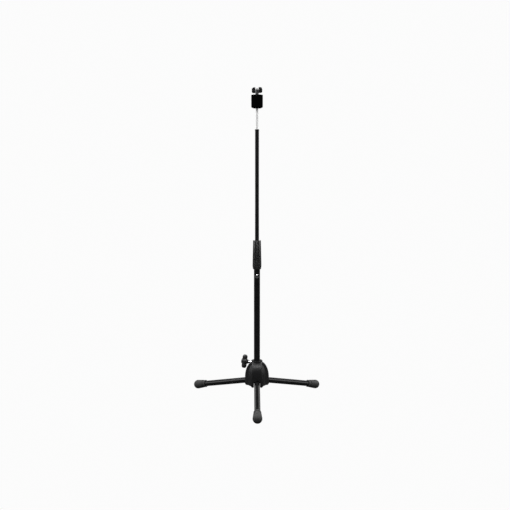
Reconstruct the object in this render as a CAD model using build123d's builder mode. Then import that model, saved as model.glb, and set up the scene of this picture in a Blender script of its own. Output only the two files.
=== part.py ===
"""A tall trumpet stand: a folding three-legged base, a two-part column and a soft peg on a rod.

Every piece is modelled round the column's axis with the floor at z = 0, and is moved into its frame when
it is written: the frame's origin is the middle of the footprint, on the floor.
"""

import os
from math import asin, cos, degrees, hypot, radians, sin

from build123d import *

os.makedirs("parts", exist_ok=True)

# Fits and gaps.
RUNNING_GAP = 0.08
CLEAR_GAP = 0.3

# Legs: azimuth of each, slope in use, tube and reach.
LEG_AZIMUTHS = {"front": -90.0, "right": 30.0, "left": 150.0}
LEG_SLOPE = 12.8
LEG_RADIUS = 9.5
LEG_WALL = 1.5
LEG_BORE = LEG_RADIUS - LEG_WALL
PIVOT_REACH = 24.0
FOOT_REACH = 251.0
TUBE_BEHIND_PIN = 7.0
PIN_RADIUS = 2.5
PIN_LENGTH = 37.0

# Rubber foot caps: a round end, a body that tapers towards the tube, a groove and a collar, measured
# along the leg from the pin.
CAP_TIP = (FOOT_REACH - PIVOT_REACH) / cos(radians(LEG_SLOPE))
CAP_RADIUS = 14.9
CAP_WIDEST = CAP_TIP - CAP_RADIUS
CAP_TAPER = 5.0
CAP_BODY_START = CAP_TIP - 38.0
CAP_BODY_RADIUS = 12.9
CAP_GROOVE = 4.5
CAP_GROOVE_RADIUS = 11.0
CAP_COLLAR = 6.0
CAP_COLLAR_RADIUS = 12.1
CAP_MOUTH = CAP_BODY_START - CAP_GROOVE - CAP_COLLAR
CAP_FLAT = 0.8
TUBE_END = CAP_TIP - 8.0

# The caps' round ends come to the floor, less the flat worn on them, so the pin's height follows.
PIVOT_Z = CAP_WIDEST * sin(radians(LEG_SLOPE)) + CAP_RADIUS - CAP_FLAT

# Leg root: a plug in the tube, with a nose that lies under the column.
PLUG_END = 25.0
NOSE_LENGTH = 18.0
NOSE_HALF = 5.0
NOSE_TOP = 3.0
NOSE_BOTTOM = -4.5
NOSE_CUT = 3.0

# Hub: a collar round the column, and a bell with three arms over the legs' slots. The outline of the
# bell and of its arms is an arc of an ellipse above BELL_BASE and upright below it.
HUB_TOP = 130.0
COLLAR_RADIUS = 18.2
COLLAR_FOOT = 112.0
BELL_BASE = 78.0
BELL_RISE = 54.0
BELL_LIFT = degrees(asin((HUB_TOP - BELL_BASE) / BELL_RISE))
ARM_RADIUS = 36.3
CORE_RADIUS = 30.0
CORE_STEPS = 8
CORE_BOTTOM = 49.3
ARM_BOTTOM = 46.5
PRONG_SHOULDER = 52.5
PRONG_DEPTH = 8.0
ARM_HALF_TOP = 16.0
ARM_HALF = 21.0
PRONG_HALF = 15.4
ARM_EDGE = 4.0
ARCH_TOP = 72.6
ARCH_SPRING = 62.5
ARCH_FOOT_HALF = 15.0
ARCH_START = 34.5
SLOT_HALF = 10.2
SLOT_OUTER = 33.0
SLOT_TOP = PIVOT_Z + hypot(TUBE_BEHIND_PIN, LEG_RADIUS) + CLEAR_GAP
NOSE_ROOM_HALF = 5.8
NOSE_ROOM_OUTER = 4.0
POCKET_RADIUS = 5.2
POCKET_REACH = 21.5
POCKET_TOP = 80.0
BELOW_HUB = 1.0
LEG_WAY_START = 6.0
LEG_WAY_END = 16.0

# Ring at the top of the hub, which guides the column.
RING_RADIUS = 15.0
RING_FLANGE_RADIUS = 18.0
RING_BOTTOM = 128.1
RING_TOP = 131.6
RING_EDGE = 0.4

# Clamp: a screw square to the column, above the left arm, distances from the column's axis.
CLAMP_AZIMUTH = LEG_AZIMUTHS["left"]
CLAMP_Z = 122.0
CLAMP_TRAVEL = 2.5
SHOE_RADIUS = 4.6
SHOE_LENGTH = 2.0
SCREW_RADIUS = 4.0
SCREW_EDGE = 0.6
INSERT_RADIUS = 5.2
INSERT_END = 19.0
INSERT_LENGTH = 3.8
SPOT_FACE_RADIUS = 6.6
KNOB_START = 31.0
KNOB_COLLAR_RADIUS = 5.0
KNOB_FLARE_RADIUS = 8.0
KNOB_BOSS_START = 38.7
KNOB_BOSS_ROUND = 40.7
KNOB_BOSS_RADIUS = 9.0
KNOB_END = 57.0
KNOB_DOME = 1.2
KNOB_WING_START = 40.0
KNOB_WING_END = 55.5
KNOB_SPAN = 45.0
KNOB_WING_WIDTH = 15.5
KNOB_LEAN = 14.0
KNOB_EDGE = 6.0

# Lower tube and the plug at its foot, which stands on the legs' noses.
LOWER_RADIUS = 10.0
LOWER_BORE = 8.5
LOWER_TOP = 449.0
COLUMN_FOOT = PIVOT_Z + NOSE_TOP + CLEAR_GAP
FOOT_FLANGE = 4.0
FOOT_SPIGOT = 18.0
FOOT_BORE = 4.0
FOOT_EDGE = 0.8

# Clutch: a body in the lower tube, a split collet and a fluted grip.
BODY_BOTTOM = 403.0
BODY_COLLAR_TOP = 454.0
BODY_COLLAR_RADIUS = 11.0
BODY_TOP = 479.0
BODY_THREAD_RADIUS = 10.5
BODY_BORE = 6.8
BODY_CONE = 2.0
COLLET_BOTTOM = 481.0
COLLET_TOP = 503.0
COLLET_RADIUS = 9.6
COLLET_END_RADIUS = 8.2
COLLET_SLIT = 1.5
COLLET_LOW_CONE = 4.0
COLLET_HIGH_CONE = 6.0
GRIP_BOTTOM = 438.0
GRIP_WIDEST = 448.0
GRIP_TOP = 532.5
GRIP_FOOT_RADIUS = 13.0
GRIP_LOW_RADIUS = 14.7
GRIP_HIGH_RADIUS = 12.75
GRIP_MOUTH_RADIUS = 11.4
GRIP_CAVITY_RADIUS = 9.95
GRIP_NECK_BORE = 6.9
GRIP_ROOM = 2.0
GRIP_CONE_BELOW = 4.0
GRIP_CONE_ABOVE = 5.0
FLUTES = 8
FLUTE_RADIUS = 7.0
FLUTE_DEPTH = 1.2
FLUTE_START = 22.5
BUTTON_Z = 415.0
BUTTON_RADIUS = 6.5
BUTTON_HEIGHT = 2.2
BUTTON_SPHERE = (BUTTON_RADIUS**2 + BUTTON_HEIGHT**2) / (2 * BUTTON_HEIGHT)
RIVET_RADIUS = 2.4

# Upper tube, with the glide on its foot and the plug in its top.
UPPER_RADIUS = 6.5
UPPER_BORE = 5.3
UPPER_BOTTOM = 365.0
UPPER_TOP = 885.5
GLIDE_LENGTH = 13.0
GLIDE_BASE = 3.0
PLUG_FLANGE_RADIUS = 6.9
PLUG_FLANGE_TOP = 889.0
PLUG_EDGE = 0.4
PLUG_BOTTOM = 853.0

# Peg: a threaded rod with a felt-covered cylinder held between a nut and a wing nut.
ROD_RADIUS = 4.0
ROD_BOTTOM = 863.0
ROD_TOP = 1019.5
ROD_EDGE = 0.8
PEG_BOTTOM = 954.3
PEG_TOP = 997.4
PEG_RADIUS = 18.6
PEG_DOME = 6.0
PEG_EDGE = 0.8
SLEEVE_RADIUS = 6.5
RECESS_RADIUS = 9.6
LOW_RECESS = 9.0
HIGH_RECESS = 4.6
WASHER_RADIUS = 9.0
WASHER_THICKNESS = 1.6
NUT_RADIUS = 7.5
NUT_THICKNESS = 6.5
WING_NECK_LOW = 5.9
WING_NECK_HIGH = 5.2
WING_BOTTOM = 1003.3
WING_TOP = 1021.5
WING_SPAN = 34.8
WING_HALF_THICK = 2.1
WING_EDGE = 1.6
WING_CORNER = 5.5
WING_TURN = -16.0
WING_NECK_BELOW = 5.0
WING_GAP_HALF = 5.7

# The frame's origin is the middle of the footprint. The three caps' round ends stand on one circle, 120
# degrees apart, so the middle lies a quarter of that circle's radius in front of the column.
CAP_CENTRE_REACH = PIVOT_REACH + CAP_WIDEST * cos(radians(LEG_SLOPE))
COLUMN_Y = CAP_CENTRE_REACH / 4


def write(piece, name, azimuth=0.0):
    """Turns a finished piece to its azimuth, moves it into the frame and writes it as a node."""
    node = piece.moved(Location((0, COLUMN_Y, 0), (0, 0, azimuth)))
    node.label = name
    export_step(node, f"parts/{name}.step")


def half_section(*corners):
    """A face in the XZ plane from the corners of half a section, to be revolved round Z."""
    with BuildSketch(Plane.XZ) as half:
        with BuildLine():
            Polyline(*corners, close=True)
        make_face()
    return half.sketch


# ---------------------------------------------------------------- legs
# A leg lies along +X while it is made. LEG_SIDE runs down the leg from its pin and cuts it lengthways.

slope = radians(LEG_SLOPE)
pin_centre = (PIVOT_REACH, 0, PIVOT_Z)
leg_direction = (cos(slope), 0, -sin(slope))
LEG_SIDE = Plane(origin=pin_centre, x_dir=leg_direction, z_dir=(0, -1, 0))
LEG_AXIS = Axis(pin_centre, leg_direction)
PIN_SIDE = Plane(origin=pin_centre, x_dir=(1, 0, 0), z_dir=(0, -1, 0))

# Steel tube, with the hole for its pin.
with BuildPart() as leg_tube:
    with BuildSketch(LEG_SIDE):
        with BuildLine():
            Polyline(
                (-TUBE_BEHIND_PIN, LEG_BORE),
                (TUBE_END, LEG_BORE),
                (TUBE_END, LEG_RADIUS),
                (-TUBE_BEHIND_PIN, LEG_RADIUS),
                close=True,
            )
        make_face()
    revolve(axis=LEG_AXIS)
    with BuildSketch(PIN_SIDE):
        Circle(PIN_RADIUS + RUNNING_GAP)
    extrude(amount=LEG_RADIUS + 1, both=True, mode=Mode.SUBTRACT)

# Moulded plug in the tube's root. Its nose reaches inwards under the column and stops the leg folding.
with BuildPart() as leg_root:
    with BuildSketch(LEG_SIDE):
        with BuildLine():
            Polyline(
                (-TUBE_BEHIND_PIN, 0),
                (PLUG_END, 0),
                (PLUG_END, LEG_BORE),
                (-TUBE_BEHIND_PIN, LEG_BORE),
                close=True,
            )
        make_face()
    revolve(axis=LEG_AXIS)
    with BuildSketch(PIN_SIDE):
        with BuildLine():
            Polyline(
                (0, NOSE_TOP),
                (-NOSE_LENGTH, NOSE_TOP),
                (-NOSE_LENGTH, NOSE_BOTTOM + NOSE_CUT),
                (-NOSE_LENGTH + NOSE_CUT, NOSE_BOTTOM),
                (0, NOSE_BOTTOM),
                close=True,
            )
        make_face()
    extrude(amount=NOSE_HALF, both=True)
    with BuildSketch(PIN_SIDE):
        Circle(PIN_RADIUS + RUNNING_GAP)
    extrude(amount=LEG_RADIUS + 1, both=True, mode=Mode.SUBTRACT)

# Rubber cap, flat where it stands on the floor.
with BuildPart() as foot_cap:
    with BuildSketch(LEG_SIDE):
        with BuildLine():
            dome = CenterArc((CAP_WIDEST, 0), CAP_RADIUS, 90 + CAP_TAPER, -90 - CAP_TAPER)
            Polyline(
                (CAP_TIP, 0),
                (TUBE_END, 0),
                (TUBE_END, LEG_RADIUS),
                (CAP_MOUTH, LEG_RADIUS),
                (CAP_MOUTH, CAP_COLLAR_RADIUS),
                (CAP_MOUTH + CAP_COLLAR, CAP_COLLAR_RADIUS),
                (CAP_MOUTH + CAP_COLLAR, CAP_GROOVE_RADIUS),
                (CAP_BODY_START, CAP_GROOVE_RADIUS),
                (CAP_BODY_START, CAP_BODY_RADIUS),
                dome @ 0,
            )
        make_face()
    revolve(axis=LEG_AXIS)
    with BuildSketch(Plane.XY.offset(-CAP_RADIUS)):
        Rectangle(2 * FOOT_REACH, 2 * CAP_RADIUS)
    extrude(amount=CAP_RADIUS, mode=Mode.SUBTRACT)

with BuildPart() as pivot_pin:
    with BuildSketch(PIN_SIDE):
        Circle(PIN_RADIUS)
    extrude(amount=PIN_LENGTH / 2, both=True)

for side, azimuth in LEG_AZIMUTHS.items():
    write(leg_tube.part, f"leg_tube_{side}", azimuth)
    write(leg_root.part, f"leg_root_{side}", azimuth)
    write(foot_cap.part, f"foot_cap_{side}", azimuth)
    write(pivot_pin.part, f"pivot_pin_{side}", azimuth)


# ---------------------------------------------------------------- hub

# One arm of the hub along +X, narrower at the top, with its long edges well rounded.
with BuildPart() as hub_arm:
    with BuildSketch(Plane.XZ):
        with BuildLine():
            bell = EllipticalCenterArc((0, BELL_BASE), ARM_RADIUS, BELL_RISE, 0, arc_size=BELL_LIFT)
            Polyline(bell @ 1, (0, HUB_TOP), (0, ARM_BOTTOM), (ARM_RADIUS, ARM_BOTTOM), bell @ 0)
        make_face()
    extrude(amount=ARM_HALF, both=True)
    with BuildSketch(Plane.YZ):
        with BuildLine():
            Polyline(
                (-ARM_HALF_TOP, HUB_TOP),
                (-ARM_HALF, PRONG_SHOULDER),
                (-PRONG_HALF, ARM_BOTTOM),
                (PRONG_HALF, ARM_BOTTOM),
                (ARM_HALF, PRONG_SHOULDER),
                (ARM_HALF_TOP, HUB_TOP),
                close=True,
            )
        make_face()
    extrude(amount=ARM_RADIUS, mode=Mode.INTERSECT)
    outer_face_edges = [
        edge
        for edge in hub_arm.edges()
        if abs(edge.center().Y) > ARM_HALF_TOP and edge.center().X > COLLAR_RADIUS
    ]
    fillet(outer_face_edges, radius=ARM_EDGE)

# The room that one leg needs along +X: its slot, its nose's sweep, its way out, the gap between the
# prongs and the arch over it.
nose_sweep = hypot(NOSE_LENGTH, NOSE_TOP) + 2 * CLEAR_GAP
with BuildPart() as leg_room:
    with BuildSketch(Plane.XZ):
        with Locations((0, ARM_BOTTOM - BELOW_HUB)):
            Rectangle(SLOT_OUTER, SLOT_TOP - ARM_BOTTOM + BELOW_HUB, align=(Align.MIN, Align.MIN))
    extrude(amount=SLOT_HALF, both=True)
    with BuildSketch(PIN_SIDE):
        Circle(nose_sweep)
        with Locations((NOSE_ROOM_OUTER, 0)):
            Rectangle(nose_sweep, 2 * nose_sweep, align=(Align.MIN, Align.CENTER), mode=Mode.SUBTRACT)
    extrude(amount=NOSE_ROOM_HALF, both=True)
    with BuildSketch(LEG_SIDE):
        with Locations((LEG_WAY_START, 0)):
            Rectangle(LEG_WAY_END - LEG_WAY_START, LEG_RADIUS + CLEAR_GAP, align=(Align.MIN, Align.MIN))
    revolve(axis=LEG_AXIS)
    with BuildSketch(Plane.YZ.offset(ARM_RADIUS - PRONG_DEPTH)):
        with BuildLine():
            Polyline(
                (SLOT_HALF, ARCH_SPRING),
                (ARCH_FOOT_HALF, ARM_BOTTOM - BELOW_HUB),
                (-ARCH_FOOT_HALF, ARM_BOTTOM - BELOW_HUB),
                (-SLOT_HALF, ARCH_SPRING),
                close=True,
            )
        make_face()
    extrude(amount=ARM_RADIUS)
    with BuildSketch(Plane.YZ.offset(ARCH_START)):
        with BuildLine():
            ThreePointArc((-SLOT_HALF, ARCH_SPRING), (0, ARCH_TOP), (SLOT_HALF, ARCH_SPRING))
            Line((SLOT_HALF, ARCH_SPRING), (-SLOT_HALF, ARCH_SPRING))
        make_face()
    extrude(amount=ARM_RADIUS)

# The clamp's holes along +X: a bore for the shoe, a seat for the insert and a spot face outside it.
insert_start = INSERT_END - INSERT_LENGTH
with BuildPart() as clamp_room:
    with BuildSketch(Plane.YZ):
        with Locations((0, CLAMP_Z)):
            Circle(SHOE_RADIUS + CLEAR_GAP)
    extrude(amount=insert_start)
    with BuildSketch(Plane.YZ.offset(insert_start)):
        with Locations((0, CLAMP_Z)):
            Circle(INSERT_RADIUS)
    extrude(amount=INSERT_LENGTH)
    with BuildSketch(Plane.YZ.offset(INSERT_END)):
        with Locations((0, CLAMP_Z)):
            Circle(SPOT_FACE_RADIUS)
    extrude(amount=ARM_RADIUS)

# Die-cast hub: a round core and three arms, hollow below, bored for the column.
with BuildPart() as base_hub:
    with BuildSketch(Plane.XZ):
        with BuildLine():
            outline = EllipticalCenterArc(
                (0, BELL_BASE), CORE_RADIUS, BELL_RISE, 0, arc_size=BELL_LIFT, mode=Mode.PRIVATE
            )
            outline_points = [outline @ (step / CORE_STEPS) for step in range(CORE_STEPS + 1)]
            core = Spline(*outline_points, tangents=(outline % 0, outline % 1))
            Polyline(core @ 1, (0, HUB_TOP), (0, CORE_BOTTOM), (CORE_RADIUS, CORE_BOTTOM), core @ 0)
        make_face()
    revolve(axis=Axis.Z)
    with BuildSketch(Plane.XY.offset(COLLAR_FOOT)):
        Circle(COLLAR_RADIUS)
    extrude(amount=HUB_TOP - COLLAR_FOOT)
    with PolarLocations(0, len(LEG_AZIMUTHS), start_angle=LEG_AZIMUTHS["right"]):
        add(hub_arm.part)
    with BuildSketch(Plane.XY.offset(ARM_BOTTOM)):
        Circle(ARM_RADIUS - PRONG_DEPTH)
    extrude(amount=CORE_BOTTOM - ARM_BOTTOM, mode=Mode.SUBTRACT)
    with BuildSketch(Plane.XY.offset(ARM_BOTTOM)):
        Circle(LOWER_RADIUS + RUNNING_GAP)
    extrude(amount=HUB_TOP - ARM_BOTTOM, mode=Mode.SUBTRACT)
    with BuildSketch(Plane.XY.offset(RING_BOTTOM)):
        Circle(RING_RADIUS)
    extrude(amount=HUB_TOP - RING_BOTTOM, mode=Mode.SUBTRACT)
    with PolarLocations(0, len(LEG_AZIMUTHS), start_angle=LEG_AZIMUTHS["right"]):
        add(leg_room.part, mode=Mode.SUBTRACT)
    with BuildSketch(Plane.XY.offset(CORE_BOTTOM)):
        with PolarLocations(POCKET_REACH, len(LEG_AZIMUTHS), start_angle=LEG_AZIMUTHS["right"] + 60):
            Circle(POCKET_RADIUS)
    extrude(amount=POCKET_TOP - CORE_BOTTOM, mode=Mode.SUBTRACT)
    with PolarLocations(0, len(LEG_AZIMUTHS), start_angle=LEG_AZIMUTHS["right"]):
        add(pivot_pin.part, mode=Mode.SUBTRACT)
    with PolarLocations(0, 1, start_angle=CLAMP_AZIMUTH):
        add(clamp_room.part, mode=Mode.SUBTRACT)
write(base_hub.part, "base_hub")

# Nylon ring let into the top of the hub, with a flange that covers the hub's rim.
with BuildPart() as hub_ring:
    with BuildSketch(Plane.XY.offset(RING_BOTTOM)):
        Circle(RING_RADIUS)
    extrude(amount=HUB_TOP - RING_BOTTOM)
    with BuildSketch(Plane.XY.offset(HUB_TOP)):
        Circle(RING_FLANGE_RADIUS)
    extrude(amount=RING_TOP - HUB_TOP)
    with BuildSketch(Plane.XY.offset(RING_BOTTOM)):
        Circle(LOWER_RADIUS + RUNNING_GAP)
    extrude(amount=RING_TOP - RING_BOTTOM, mode=Mode.SUBTRACT)
    chamfer(hub_ring.faces().sort_by(Axis.Z)[-1].edges(), length=RING_EDGE)
write(hub_ring.part, "hub_ring")


# ---------------------------------------------------------------- clamp, made along +X

with BuildPart() as clamp_insert:
    with BuildSketch(Plane.YZ.offset(insert_start)):
        with Locations((0, CLAMP_Z)):
            Circle(INSERT_RADIUS)
            Circle(SCREW_RADIUS + RUNNING_GAP, mode=Mode.SUBTRACT)
    extrude(amount=INSERT_LENGTH)
write(clamp_insert.part, "clamp_insert", CLAMP_AZIMUTH)

# Pressure pad between the screw and the column.
shoe_start = LOWER_RADIUS + CLEAR_GAP
with BuildPart() as clamp_shoe:
    with BuildSketch(Plane.YZ.offset(shoe_start)):
        with Locations((0, CLAMP_Z)):
            Circle(SHOE_RADIUS)
    extrude(amount=SHOE_LENGTH)
write(clamp_shoe.part, "clamp_shoe", CLAMP_AZIMUTH)

screw_start = shoe_start + SHOE_LENGTH
with BuildPart() as clamp_screw:
    with BuildSketch(Plane.YZ.offset(screw_start)):
        with Locations((0, CLAMP_Z)):
            Circle(SCREW_RADIUS)
    extrude(amount=KNOB_WING_START - screw_start)
    chamfer(clamp_screw.faces().sort_by(Axis.X)[0].edges(), length=SCREW_EDGE)
write(clamp_screw.part, "clamp_screw", CLAMP_AZIMUTH)

# Moulded knob: a flared collar, a domed boss and two plump wings, leaning a little.
KNOB_AXIS = Axis((0, 0, CLAMP_Z), (1, 0, 0))
with BuildPart() as clamp_knob:
    with BuildSketch(Plane.YZ.offset(KNOB_WING_START)):
        with Locations(Location((0, CLAMP_Z), 90 + KNOB_LEAN)):
            SlotOverall(KNOB_SPAN, KNOB_WING_WIDTH)
    extrude(amount=KNOB_WING_END - KNOB_WING_START)
    fillet(clamp_knob.edges().filter_by(Plane.YZ), radius=KNOB_EDGE)
    with BuildSketch(Plane.XZ):
        with BuildLine():
            Polyline(
                (KNOB_END, CLAMP_Z),
                (KNOB_START, CLAMP_Z),
                (KNOB_START, CLAMP_Z + KNOB_COLLAR_RADIUS),
                (KNOB_BOSS_START, CLAMP_Z + KNOB_FLARE_RADIUS),
                (KNOB_BOSS_ROUND, CLAMP_Z + KNOB_BOSS_RADIUS),
                (KNOB_END - KNOB_DOME, CLAMP_Z + KNOB_BOSS_RADIUS),
            )
            dome_centre = (KNOB_END - KNOB_DOME, CLAMP_Z)
            EllipticalCenterArc(dome_centre, KNOB_DOME, KNOB_BOSS_RADIUS, 0, arc_size=90)
        make_face()
    revolve(axis=KNOB_AXIS)
    with BuildSketch(Plane.YZ.offset(KNOB_START)):
        with Locations((0, CLAMP_Z)):
            Circle(SCREW_RADIUS)
    extrude(amount=KNOB_WING_START - KNOB_START, mode=Mode.SUBTRACT)
write(clamp_knob.part, "clamp_knob", CLAMP_AZIMUTH)


# ---------------------------------------------------------------- column

with BuildPart() as lower_tube:
    with BuildSketch(Plane.XY.offset(COLUMN_FOOT + FOOT_FLANGE)):
        Circle(LOWER_RADIUS)
        Circle(LOWER_BORE, mode=Mode.SUBTRACT)
    extrude(amount=LOWER_TOP - COLUMN_FOOT - FOOT_FLANGE)
    with BuildSketch(Plane.XZ):
        with Locations((0, BUTTON_Z)):
            Circle(RIVET_RADIUS)
    extrude(amount=LOWER_RADIUS, mode=Mode.SUBTRACT)
write(lower_tube.part, "lower_tube")

# Plug in the tube's foot, which stands on the three noses.
with BuildPart() as column_plug:
    with BuildSketch(Plane.XY.offset(COLUMN_FOOT)):
        Circle(LOWER_RADIUS)
    extrude(amount=FOOT_FLANGE)
    chamfer(column_plug.faces().sort_by(Axis.Z)[0].edges(), length=FOOT_EDGE)
    with BuildSketch(Plane.XY.offset(COLUMN_FOOT + FOOT_FLANGE)):
        Circle(LOWER_BORE)
    extrude(amount=FOOT_SPIGOT)
    with BuildSketch(Plane.XY.offset(COLUMN_FOOT)):
        Circle(FOOT_BORE)
    extrude(amount=FOOT_FLANGE + FOOT_SPIGOT, mode=Mode.SUBTRACT)
write(column_plug.part, "column_plug")

# Clutch body: a spigot in the lower tube, a collar on its end and the thread for the grip.
with BuildPart() as clutch_body:
    section = half_section(
        (BODY_BORE, BODY_BOTTOM),
        (LOWER_BORE, BODY_BOTTOM),
        (LOWER_BORE, LOWER_TOP),
        (BODY_COLLAR_RADIUS, LOWER_TOP),
        (BODY_COLLAR_RADIUS, BODY_COLLAR_TOP),
        (BODY_THREAD_RADIUS, BODY_COLLAR_TOP),
        (BODY_THREAD_RADIUS, BODY_TOP),
        (COLLET_END_RADIUS + CLEAR_GAP, BODY_TOP),
        (BODY_BORE, BODY_TOP - BODY_CONE),
    )
    add(section)
    revolve(axis=Axis.Z)
    with BuildSketch(Plane.XZ):
        with Locations((0, BUTTON_Z)):
            Circle(RIVET_RADIUS)
    extrude(amount=LOWER_RADIUS, mode=Mode.SUBTRACT)
write(clutch_body.part, "clutch_body")

# Domed button rivet that pins the clutch body in the lower tube.
with BuildPart() as clutch_button:
    with BuildSketch(Plane.XY.offset(BUTTON_Z)):
        with BuildLine():
            Polyline(
                (0, -LOWER_RADIUS - BUTTON_HEIGHT),
                (0, -BODY_BORE - CLEAR_GAP),
                (RIVET_RADIUS, -BODY_BORE - CLEAR_GAP),
                (RIVET_RADIUS, -LOWER_RADIUS),
                (BUTTON_RADIUS, -LOWER_RADIUS),
            )
            button_half_angle = degrees(asin(BUTTON_RADIUS / BUTTON_SPHERE))
            button_centre = (0, BUTTON_SPHERE - LOWER_RADIUS - BUTTON_HEIGHT)
            CenterArc(button_centre, BUTTON_SPHERE, 270, button_half_angle)
        make_face()
    revolve(axis=Axis((0, 0, BUTTON_Z), (0, 1, 0)))
write(clutch_button.part, "clutch_button")

# Split collet that the grip closes on the upper tube.
with BuildPart() as clutch_collet:
    section = half_section(
        (UPPER_RADIUS + RUNNING_GAP, COLLET_BOTTOM),
        (COLLET_END_RADIUS, COLLET_BOTTOM),
        (COLLET_RADIUS, COLLET_BOTTOM + COLLET_LOW_CONE),
        (COLLET_RADIUS, COLLET_TOP - COLLET_HIGH_CONE),
        (COLLET_END_RADIUS, COLLET_TOP),
        (UPPER_RADIUS + RUNNING_GAP, COLLET_TOP),
    )
    add(section)
    revolve(axis=Axis.Z)
    with BuildSketch(Plane.XY.offset(COLLET_BOTTOM)):
        with Locations((0, COLLET_RADIUS)):
            Rectangle(COLLET_SLIT, 2 * COLLET_RADIUS)
    extrude(amount=COLLET_TOP - COLLET_BOTTOM, mode=Mode.SUBTRACT)
write(clutch_collet.part, "clutch_collet")

# The cutter for one flute of the grip, along +X, leaning with the grip's taper.
flute_taper = (GRIP_LOW_RADIUS - GRIP_HIGH_RADIUS) / (GRIP_TOP - GRIP_WIDEST)
flute_reach = GRIP_HIGH_RADIUS + FLUTE_RADIUS - FLUTE_DEPTH
with BuildPart() as flute:
    with BuildSketch(Plane.XY.offset(GRIP_BOTTOM)):
        with Locations((flute_reach + flute_taper * (GRIP_TOP - GRIP_BOTTOM), 0)):
            Circle(FLUTE_RADIUS)
    with BuildSketch(Plane.XY.offset(GRIP_TOP)):
        with Locations((flute_reach, 0)):
            Circle(FLUTE_RADIUS)
    loft()

# Fluted grip, wider below, bored for the lower tube, the thread, the collet and the upper tube.
with BuildPart() as clutch_grip:
    section = half_section(
        (LOWER_RADIUS + CLEAR_GAP, GRIP_BOTTOM),
        (GRIP_FOOT_RADIUS, GRIP_BOTTOM),
        (GRIP_LOW_RADIUS, GRIP_WIDEST),
        (GRIP_HIGH_RADIUS, GRIP_TOP),
        (GRIP_NECK_BORE, GRIP_TOP),
        (GRIP_NECK_BORE, COLLET_TOP + GRIP_CONE_ABOVE),
        (GRIP_CAVITY_RADIUS, COLLET_TOP - GRIP_CONE_BELOW),
        (GRIP_CAVITY_RADIUS, BODY_TOP + GRIP_ROOM),
        (BODY_THREAD_RADIUS + RUNNING_GAP, BODY_TOP + GRIP_ROOM),
        (BODY_THREAD_RADIUS + RUNNING_GAP, BODY_COLLAR_TOP + GRIP_ROOM),
        (GRIP_MOUTH_RADIUS, BODY_COLLAR_TOP + GRIP_ROOM),
        (GRIP_MOUTH_RADIUS, LOWER_TOP - GRIP_ROOM),
        (LOWER_RADIUS + CLEAR_GAP, LOWER_TOP - GRIP_ROOM),
    )
    add(section)
    revolve(axis=Axis.Z)
    with PolarLocations(0, FLUTES, start_angle=FLUTE_START):
        add(flute.part, mode=Mode.SUBTRACT)
write(clutch_grip.part, "clutch_grip")


# ---------------------------------------------------------------- mast

with BuildPart() as upper_tube:
    with BuildSketch(Plane.XY.offset(UPPER_BOTTOM)):
        Circle(UPPER_RADIUS)
        Circle(UPPER_BORE, mode=Mode.SUBTRACT)
    extrude(amount=UPPER_TOP - UPPER_BOTTOM)
write(upper_tube.part, "upper_tube")

# Nylon glide on the upper tube's foot, which runs in the lower tube and stops under the clutch body.
with BuildPart() as mast_glide:
    section = half_section(
        (0, UPPER_BOTTOM - GLIDE_BASE),
        (LOWER_BORE - RUNNING_GAP, UPPER_BOTTOM - GLIDE_BASE),
        (LOWER_BORE - RUNNING_GAP, UPPER_BOTTOM + GLIDE_LENGTH),
        (UPPER_RADIUS, UPPER_BOTTOM + GLIDE_LENGTH),
        (UPPER_RADIUS, UPPER_BOTTOM),
        (0, UPPER_BOTTOM),
    )
    add(section)
    revolve(axis=Axis.Z)
write(mast_glide.part, "mast_glide")

# Plug in the upper tube's top, tapped for the rod.
with BuildPart() as mast_plug:
    with BuildSketch(Plane.XY.offset(PLUG_BOTTOM)):
        Circle(UPPER_BORE)
    extrude(amount=UPPER_TOP - PLUG_BOTTOM)
    with BuildSketch(Plane.XY.offset(UPPER_TOP)):
        Circle(PLUG_FLANGE_RADIUS)
    extrude(amount=PLUG_FLANGE_TOP - UPPER_TOP)
    chamfer(mast_plug.faces().sort_by(Axis.Z)[-1].edges(), length=PLUG_EDGE)
    with BuildSketch(Plane.XY.offset(ROD_BOTTOM)):
        Circle(ROD_RADIUS)
    extrude(amount=PLUG_FLANGE_TOP - ROD_BOTTOM, mode=Mode.SUBTRACT)
write(mast_plug.part, "mast_plug")

with BuildPart() as peg_rod:
    with BuildSketch(Plane.XY.offset(ROD_BOTTOM)):
        Circle(ROD_RADIUS)
    extrude(amount=ROD_TOP - ROD_BOTTOM)
    chamfer(peg_rod.faces().sort_by(Axis.Z)[-1].edges(), length=ROD_EDGE)
write(peg_rod.part, "peg_rod")

# Nut and washer let into the underside of the bell rest.
washer_top = PEG_BOTTOM + LOW_RECESS
nut_top = washer_top - WASHER_THICKNESS
with BuildPart() as seat_washer:
    with BuildSketch(Plane.XY.offset(nut_top)):
        Circle(WASHER_RADIUS)
        Circle(ROD_RADIUS, mode=Mode.SUBTRACT)
    extrude(amount=WASHER_THICKNESS)
write(seat_washer.part, "seat_washer")

with BuildPart() as seat_nut:
    with BuildSketch(Plane.XY.offset(nut_top - NUT_THICKNESS)):
        RegularPolygon(NUT_RADIUS, 6)
        Circle(ROD_RADIUS, mode=Mode.SUBTRACT)
    extrude(amount=NUT_THICKNESS)
write(seat_nut.part, "seat_nut")

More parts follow.
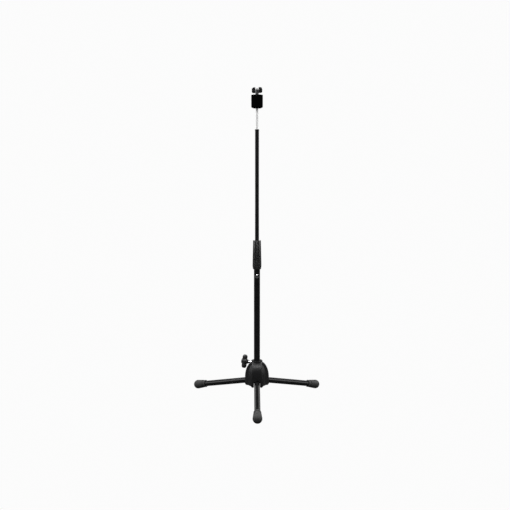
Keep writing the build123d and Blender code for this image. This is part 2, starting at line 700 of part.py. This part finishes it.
# Felt-covered rest for the trumpet's bell: square above, domed below, recessed at both ends.
with BuildPart() as bell_rest:
    with BuildSketch(Plane.XZ):
        with BuildLine():
            Polyline(
                (0, PEG_BOTTOM),
                (0, PEG_TOP),
                (PEG_RADIUS, PEG_TOP),
                (PEG_RADIUS, PEG_BOTTOM + PEG_DOME),
            )
            EllipticalCenterArc((0, PEG_BOTTOM + PEG_DOME), PEG_RADIUS, PEG_DOME, 270, arc_size=90)
        make_face()
    revolve(axis=Axis.Z)
    fillet(bell_rest.faces().sort_by(Axis.Z)[-1].edges(), radius=PEG_EDGE)
    with BuildSketch(Plane.XY.offset(PEG_BOTTOM)):
        Circle(SLEEVE_RADIUS)
    extrude(amount=PEG_TOP - PEG_BOTTOM, mode=Mode.SUBTRACT)
    with BuildSketch(Plane.XY.offset(PEG_BOTTOM)):
        Circle(RECESS_RADIUS)
    extrude(amount=LOW_RECESS, mode=Mode.SUBTRACT)
    with BuildSketch(Plane.XY.offset(PEG_TOP - HIGH_RECESS)):
        Circle(RECESS_RADIUS)
    extrude(amount=HIGH_RECESS, mode=Mode.SUBTRACT)
write(bell_rest.part, "bell_rest")

# Nylon sleeve that lines the rest's bore round the rod.
with BuildPart() as rest_sleeve:
    with BuildSketch(Plane.XY.offset(washer_top)):
        Circle(SLEEVE_RADIUS)
        Circle(ROD_RADIUS, mode=Mode.SUBTRACT)
    extrude(amount=PEG_TOP - HIGH_RECESS - washer_top)
write(rest_sleeve.part, "rest_sleeve")

# Loose washer in the top recess, under the wing nut.
top_washer_bottom = PEG_TOP - HIGH_RECESS + CLEAR_GAP
with BuildPart() as top_washer:
    with BuildSketch(Plane.XY.offset(top_washer_bottom)):
        Circle(WASHER_RADIUS)
        Circle(ROD_RADIUS + RUNNING_GAP, mode=Mode.SUBTRACT)
    extrude(amount=WASHER_THICKNESS)
write(top_washer.part, "top_washer")

# Cast wing nut: a tapered neck with two rounded wings, level with the rod's end.
neck_bottom = top_washer_bottom + WASHER_THICKNESS + CLEAR_GAP
neck_top = ROD_TOP - WING_NECK_BELOW
with BuildPart() as wing_nut:
    with BuildSketch(Plane.XZ):
        with Locations((0, (WING_BOTTOM + WING_TOP) / 2)):
            RectangleRounded(WING_SPAN, WING_TOP - WING_BOTTOM, WING_CORNER)
        with Locations((0, WING_TOP)):
            Rectangle(2 * WING_GAP_HALF, 2 * (WING_TOP - neck_top), mode=Mode.SUBTRACT)
    extrude(amount=WING_HALF_THICK, both=True)
    fillet(wing_nut.edges().filter_by(Plane.XZ), radius=WING_EDGE)
    section = half_section(
        (0, neck_bottom),
        (WING_NECK_LOW, neck_bottom),
        (WING_NECK_LOW, PEG_TOP),
        (WING_NECK_HIGH, neck_top),
        (0, neck_top),
    )
    add(section)
    revolve(axis=Axis.Z)
    with BuildSketch(Plane.XY.offset(neck_bottom)):
        Circle(ROD_RADIUS + RUNNING_GAP)
    extrude(amount=WING_TOP - neck_bottom, mode=Mode.SUBTRACT)
write(wing_nut.part, "wing_nut", WING_TURN)
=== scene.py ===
from math import cos, pi, radians, sin

import bmesh
import bpy
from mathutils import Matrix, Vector


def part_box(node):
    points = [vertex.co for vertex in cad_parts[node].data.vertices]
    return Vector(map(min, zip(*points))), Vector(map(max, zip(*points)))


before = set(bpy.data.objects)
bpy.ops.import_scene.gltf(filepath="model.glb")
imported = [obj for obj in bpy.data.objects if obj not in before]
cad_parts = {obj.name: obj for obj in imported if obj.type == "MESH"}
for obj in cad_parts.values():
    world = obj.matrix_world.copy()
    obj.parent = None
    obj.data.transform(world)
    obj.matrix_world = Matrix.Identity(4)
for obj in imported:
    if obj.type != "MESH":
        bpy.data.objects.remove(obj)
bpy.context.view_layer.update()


# ---- The hub -------------------------------------------------------------------------------------
# A bell with three arms, die-cast in zinc and coated semi-gloss black. It comes out of its mould with a
# fine sandy skin, and the coat is thinnest, and rubs through first, on the arms' long edges.

def add_node(tree, kind, links=(), **settings):
    """A node with its attributes set, and its inputs set to a value or linked to another node's output."""
    node = tree.nodes.new(kind)
    for key, value in settings.items():
        setattr(node, key, value)
    for socket, value in dict(links).items():
        if isinstance(value, bpy.types.NodeSocket):
            tree.links.new(value, node.inputs[socket])
        else:
            node.inputs[socket].default_value = value
    return node


def start_group(name, inputs, outputs):
    """An empty node group with float inputs {name: default} and float outputs, and its two end nodes."""
    group = bpy.data.node_groups.new(name, "ShaderNodeTree")
    for socket, value in inputs.items():
        made = group.interface.new_socket(name=socket, in_out="INPUT", socket_type="NodeSocketFloat")
        made.default_value = value
    for socket in outputs:
        group.interface.new_socket(name=socket, in_out="OUTPUT", socket_type="NodeSocketFloat")
    return group, group.nodes.new("NodeGroupInput").outputs, group.nodes.new("NodeGroupOutput").inputs


def noise(tree, scale, detail=4.0):
    """Noise on the piece's own coordinates."""
    place = add_node(tree, "ShaderNodeTexCoord").outputs["Object"]
    sockets = {"Vector": place, "Scale": scale, "Detail": detail}
    return add_node(tree, "ShaderNodeTexNoise", sockets).outputs[0]


def spread(tree, value, low, high, to_low=0.0, to_high=1.0):
    """Stretches low..high of a value to a new range, and clamps the rest."""
    sockets = {"Value": value, "From Min": low, "From Max": high, "To Min": to_low, "To Max": to_high}
    return add_node(tree, "ShaderNodeMapRange", sockets).outputs[0]


def product(tree, one, other):
    return add_node(tree, "ShaderNodeMath", {0: one, 1: other}, operation="MULTIPLY").outputs[0]


# Fine even grain of a moulded or coated surface: a height, and a slow drift from place to place.
grain_group, given, result = start_group("Fine grain", {"Grains": 900.0, "Drifts": 25.0}, ["Height", "Drift"])
grain_group.links.new(noise(grain_group, given["Grains"], 3.0), result["Height"])
grain_group.links.new(noise(grain_group, given["Drifts"]), result["Drift"])

# Where outward corners are rubbed, broken up in patches.
edge_group, given, result = start_group(
    "Rubbed edges", {"Sharpness": 0.55, "Patches": 60.0, "Amount": 0.5}, ["Mask"]
)
corners = add_node(edge_group, "ShaderNodeNewGeometry").outputs["Pointiness"]
corners = spread(edge_group, corners, given["Sharpness"], 0.75)
patches = spread(edge_group, noise(edge_group, given["Patches"], 5.0), 0.4, 0.62)
rubbed = product(edge_group, product(edge_group, corners, patches), given["Amount"])
edge_group.links.new(rubbed, result["Mask"])

# Dust that lies on what faces up, in clumps.
dust_group, given, result = start_group("Settled dust", {"Amount": 0.2, "Clumps": 300.0}, ["Mask"])
facing = add_node(dust_group, "ShaderNodeTexCoord").outputs["Normal"]
facing = add_node(dust_group, "ShaderNodeSeparateXYZ", {0: facing}).outputs["Z"]
upward = spread(dust_group, facing, 0.3, 1.0)
clumps = spread(dust_group, noise(dust_group, given["Clumps"], 6.0), 0.45, 0.7)
lying = product(dust_group, product(dust_group, upward, clumps), given["Amount"])
dust_group.links.new(lying, result["Mask"])
dust_colour = (0.2, 0.19, 0.18, 1)


def use_group(tree, group, **values):
    """A group placed in a material with its own values, and its outputs."""
    node = add_node(tree, "ShaderNodeGroup", node_tree=group)
    for socket, value in values.items():
        node.inputs[socket].default_value = value
    return node.outputs


def mix_colour(tree, mask, under, over):
    """One colour over another by a mask."""
    return add_node(tree, "ShaderNodeMix", {0: mask, 6: under, 7: over}, data_type="RGBA").outputs[2]


def finish(name, colour, rough, grain, relief, worn=None, wear=0.5, drift=25.0, dust=0.15, **fixed):
    """A solid finish. Its gloss drifts over rough (low, high), grain (per metre) bumps it by relief metres,
    its edges wear to another colour and dust lies on it. fixed sets the shader's own sockets."""
    material = bpy.data.materials.new(name)
    material.use_nodes = True
    tree = material.node_tree
    shader = tree.nodes["Principled BSDF"]
    for socket, value in fixed.items():
        shader.inputs[socket.replace("_", " ")].default_value = value
    fine = use_group(tree, grain_group, Grains=grain, Drifts=drift)
    base = (*colour, 1)
    if worn:
        rub = use_group(tree, edge_group, Amount=wear)["Mask"]
        base = mix_colour(tree, rub, base, (*worn, 1))
    lying = use_group(tree, dust_group, Amount=dust)["Mask"]
    base = mix_colour(tree, lying, base, dust_colour)
    tree.links.new(base, shader.inputs["Base Color"])
    gloss = spread(tree, fine["Drift"], 0.35, 0.65, *rough)
    gloss = add_node(tree, "ShaderNodeMath", {0: gloss, 1: lying}, operation="ADD").outputs[0]
    tree.links.new(gloss, shader.inputs["Roughness"])
    bump = add_node(
        tree, "ShaderNodeBump", {"Height": fine["Height"], "Strength": 1.0, "Distance": relief}
    )
    tree.links.new(bump.outputs[0], shader.inputs["Normal"])
    return material


def coat(material, *nodes):
    """Makes one material the only one on each CAD node."""
    for node in nodes:
        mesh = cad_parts[node].data
        mesh.materials.clear()
        mesh.materials.append(material)


hub_coat = finish(
    "hub_semi_gloss_coat", (0.009, 0.009, 0.0095), (0.3, 0.42), 1400, 0.00006, worn=(0.07, 0.07, 0.072)
)
coat(hub_coat, "base_hub")

# ---- The ring in the hub's top and the other nylon pieces ------------------------------------------
# Plain black nylon, injection moulded: the ring that guides the column, the roots in the legs, the plug
# in the column's foot, the clutch's body and collet, the glide, the mast's plug and the rest's sleeve.

sides = ("front", "right", "left")
nylon = finish(
    "black_nylon", (0.006, 0.006, 0.006), (0.45, 0.55), 1800, 0.00002, dust=0.02, Specular_IOR_Level=0.2
)
coat(
    nylon,
    "hub_ring",
    "column_plug",
    "clutch_body",
    "clutch_collet",
    "mast_glide",
    "mast_plug",
    "rest_sleeve",
    *(f"leg_root_{side}" for side in sides),
)

# ---- The tubes -------------------------------------------------------------------------------------
# Drawn steel tube with a smooth gloss black powder coat, baked on, with a very faint orange peel. The coat
# is a little worn at the tubes' ends.

tube_coat = finish(
    "tube_gloss_coat",
    (0.003, 0.003, 0.0033),
    (0.16, 0.22),
    420,
    0.000004,
    worn=(0.03, 0.03, 0.03),
    wear=0.15,
    dust=0.02,
)
coat(tube_coat, "lower_tube", "upper_tube", *(f"leg_tube_{side}" for side in sides))

# ---- Bright pieces ---------------------------------------------------------------------------------
# Nickel and chrome plated steel: the leg pins, the screw, the button, the nut and the washers.

chrome = finish(
    "bright_plating", (0.62, 0.62, 0.63), (0.1, 0.2), 2500, 0.000001, drift=120.0, dust=0.03, Metallic=1.0
)
coat(
    chrome,
    "clamp_screw",
    "clutch_button",
    "seat_nut",
    "seat_washer",
    "top_washer",
    *(f"pivot_pin_{side}" for side in sides),
)

# ---- The rod ---------------------------------------------------------------------------------------
# Steel rod, zinc plated to an almost white satin.

zinc = finish("satin_zinc", (0.6, 0.6, 0.6), (0.42, 0.5), 2500, 0.0000005, drift=90.0, dust=0.0, Metallic=0.2)
coat(zinc, "peg_rod")

# ---- The wing nut ----------------------------------------------------------------------------------
# Cast in one piece and plated dark. The plating is thin, and rubs brighter on the wings' corners.

dark_plating = finish(
    "dark_plating",
    (0.2, 0.2, 0.205),
    (0.16, 0.26),
    1600,
    0.000004,
    worn=(0.5, 0.5, 0.5),
    dust=0.03,
    Metallic=1.0,
)
coat(dark_plating, "wing_nut")

# ---- Brass pieces ----------------------------------------------------------------------------------
# The insert that the clamp screw turns in and the pad it presses on the column, both turned from bar.

brass = finish("turned_brass", (0.55, 0.4, 0.18), (0.22, 0.35), 1500, 0.00001, dust=0.05, Metallic=1.0)
coat(brass, "clamp_insert", "clamp_shoe")

# ---- The foot caps ---------------------------------------------------------------------------------
# Soft grey-black rubber, moulded, pushed on the tubes' ends, with a fine stippled skin and scuffs.

rubber = finish("cap_rubber", (0.022, 0.022, 0.022), (0.6, 0.8), 900, 0.00008, dust=0.25)
coat(rubber, *(f"foot_cap_{side}" for side in sides))

# ---- The clamp knob --------------------------------------------------------------------------------
# Moulded black plastic with two plump wings and a fine spark-eroded texture.

knob_plastic = finish("knob_plastic", (0.008, 0.008, 0.008), (0.4, 0.55), 1600, 0.00006, dust=0.1)
coat(knob_plastic, "clamp_knob")

# ---- The clutch grip -------------------------------------------------------------------------------
# Gloss black plastic, injection moulded in one piece, fluted so that it turns in the hand.

grip_plastic = finish(
    "grip_plastic",
    (0.006, 0.006, 0.0064),
    (0.16, 0.22),
    1000,
    0.000001,
    dust=0.01,
    Specular_IOR_Level=1.0,
    Coat_Weight=1.0,
)
coat(grip_plastic, "clutch_grip")

# ---- The bell rest ---------------------------------------------------------------------------------
# A cylinder of dense black felt, pushed over a sleeve on the rod. It swallows nearly all light.

felt = finish(
    "black_felt", (0.0015, 0.0015, 0.0015), (0.9, 1.0), 1200, 0.0003, dust=0.0, Specular_IOR_Level=0.0
)
coat(felt, "bell_rest")

# ---- The studio ------------------------------------------------------------------------------------
# A pale floor in a pale surround, which polished pieces see darker than matt ones do, with a soft light at
# each side, one high on each side for the legs and the hub, and one high in front for the button.

floor_radius = 9.0
seen_white = 0.97
floor_mesh = bmesh.new()
bmesh.ops.create_circle(floor_mesh, cap_ends=True, radius=floor_radius, segments=64)
mesh = bpy.data.meshes.new("floor")
floor_mesh.to_mesh(mesh)
floor_mesh.free()
floor = bpy.data.objects.new("floor", mesh)
bpy.context.collection.objects.link(floor)
paper = bpy.data.materials.new("pale_floor")
paper.use_nodes = True
tree = paper.node_tree
seen = add_node(tree, "ShaderNodeLightPath").outputs["Is Camera Ray"]
paint = tree.nodes["Principled BSDF"]
paint.inputs["Roughness"].default_value = 0.9
paint.inputs["Specular IOR Level"].default_value = 0.0
paint.inputs["Base Color"].default_value = (0.04, 0.04, 0.04, 1)
pale = add_node(tree, "ShaderNodeEmission", {"Color": (1, 1, 1, 1), "Strength": seen_white})
both = add_node(tree, "ShaderNodeMixShader", {0: seen, 1: paint.outputs[0], 2: pale.outputs[0]})
tree.links.new(both.outputs[0], tree.nodes["Material Output"].inputs["Surface"])
mesh.materials.append(paper)

world = bpy.data.worlds.new("studio")
bpy.context.scene.world = world
world.use_nodes = True
tree = world.node_tree
way = add_node(tree, "ShaderNodeTexCoord").outputs["Generated"]
way = add_node(tree, "ShaderNodeSeparateXYZ", {0: way}).outputs
behind = spread(tree, way["Y"], 0.0, 0.45)
low = spread(tree, way["Z"], 0.38, 0.56, 1.0, 0.0)
wall = spread(tree, product(tree, behind, low), 0.0, 1.0, 0.02, 0.85)
paths = add_node(tree, "ShaderNodeLightPath").outputs
pale_ways = {0: paths["Is Camera Ray"], 1: paths["Is Diffuse Ray"]}
seen = add_node(tree, "ShaderNodeMath", pale_ways, operation="MAXIMUM").outputs[0]
strength = add_node(tree, "ShaderNodeMix", {0: seen, 2: wall, 3: seen_white}).outputs[0]
tree.links.new(strength, tree.nodes["Background"].inputs["Strength"])
tree.nodes["Background"].inputs["Color"].default_value = (1, 1, 1, 1)

middle = Vector((0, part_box("lower_tube")[0].y, 0.5))


def soft_light(name, place, width, height, power):
    """A rectangular soft light that faces the middle of the column."""
    lamp = bpy.data.lights.new(name, "AREA")
    lamp.shape = "RECTANGLE"
    lamp.size = width
    lamp.size_y = height
    lamp.energy = power
    made = bpy.data.objects.new(name, lamp)
    made.location = place
    made.rotation_euler = (middle - Vector(place)).to_track_quat("-Z", "Y").to_euler()
    bpy.context.collection.objects.link(made)


for hand, way in (("left", -1), ("right", 1)):
    soft_light(f"soft_{hand}", (2.2 * way, -0.3, 1.1), 0.8, 1.6, 8)
    soft_light(f"soft_high_{hand}", (1.5 * way, 0.3, 2.2), 0.8, 0.8, 34)
soft_light("soft_high_front", (0, -1.3, 2.1), 2.4, 0.5, 20)

# ---- The camera ------------------------------------------------------------------------------------
# It stands in front at about table height, a hair to the left, and looks down a little.

column = (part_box("upper_tube")[0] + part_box("upper_tube")[1]) / 2
picture_side = 510
focal_pixels = 722.8
eye_distance = 2.346
eye_height = 0.763
look_down = radians(6.781)
stand_turn = radians(0.395)
look_left = radians(0.1585) - stand_turn
camera_data = bpy.data.cameras.new("camera")
camera_data.sensor_width = 36
camera_data.lens = 36 * focal_pixels / picture_side
camera = bpy.data.objects.new("camera", camera_data)
camera.location = (-eye_distance * sin(stand_turn), column.y - eye_distance * cos(stand_turn), eye_height)
camera.rotation_euler = (pi / 2 - look_down, 0, look_left)
bpy.context.collection.objects.link(camera)
bpy.context.scene.camera = camera
bpy.context.scene.view_settings.view_transform = "Standard"
